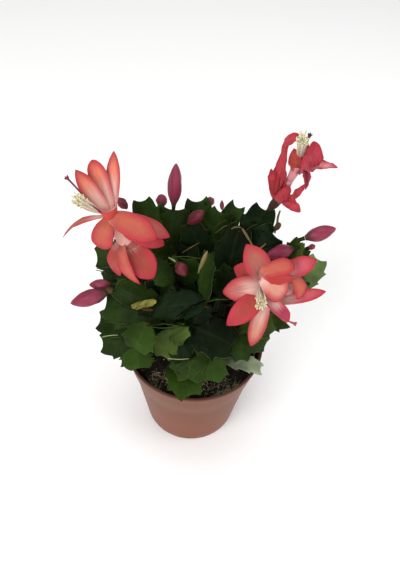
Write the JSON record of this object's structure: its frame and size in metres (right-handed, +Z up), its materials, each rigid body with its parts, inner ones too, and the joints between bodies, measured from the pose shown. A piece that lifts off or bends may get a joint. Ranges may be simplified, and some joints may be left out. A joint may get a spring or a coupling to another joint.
{
  "type": "potted christmas cactus",
  "caption": "Small Christmas cactus of flat toothed pads in arching chains, with buds and two-tiered coral blooms, in a thin tapered terracotta-coloured pot.",
  "frame": {"origin": "middle of the pot's foot disc, on the table", "axes": "+Z up along the pot's axis, +X to the right and -Y towards the side that the plant shows best"},
  "size_m": [0.1797, 0.1316, 0.2664],
  "materials": {
    "pot": "thin moulded terracotta-coloured plastic with a soft sheen",
    "soil": "dark crumbly peat with white perlite grains",
    "pad": "waxy dark green pads with a pale thin margin",
    "bud": "satin magenta buds with a greenish foot",
    "petal": "translucent coral petals with a pale base",
    "old_petal": "limp crimson petals past their best",
    "style": "magenta",
    "stamen": "cream"
  },
  "bodies": {
    "root": {"pot": "pot", "soil": "soil", "stem_front_low": "pad", "stem_front_middle": "pad", "stem_front_tall": "pad", "stem_front_right": "pad", "stem_left": "pad", "stem_left_back": "pad", "stem_back_left": "pad", "stem_back": "pad", "stem_back_right": "pad", "stem_right": "pad", "stem_centre": "pad", "stem_heart": "pad", "stem_far_1": "pad", "stem_far_2": "pad", "stem_far_3": "pad", "stem_far_4": "pad", "stem_far_5": "pad", "bud_1": "bud", "bud_2": "bud", "bud_3": "bud", "bud_4": "bud", "bud_5": "bud", "bud_6": "bud", "bud_7": "bud", "bud_8": "bud", "bud_9": "bud", "bud_10": "bud", "bloom_left": "petal", "bloom_left_style": "style", "bloom_left_stamens": "stamen", "bloom_front": "petal", "bloom_front_style": "style", "bloom_front_stamens": "stamen", "bloom_back": "old_petal", "bloom_back_style": "style", "bloom_back_stamens": "stamen"}
  },
  "joints": []
}
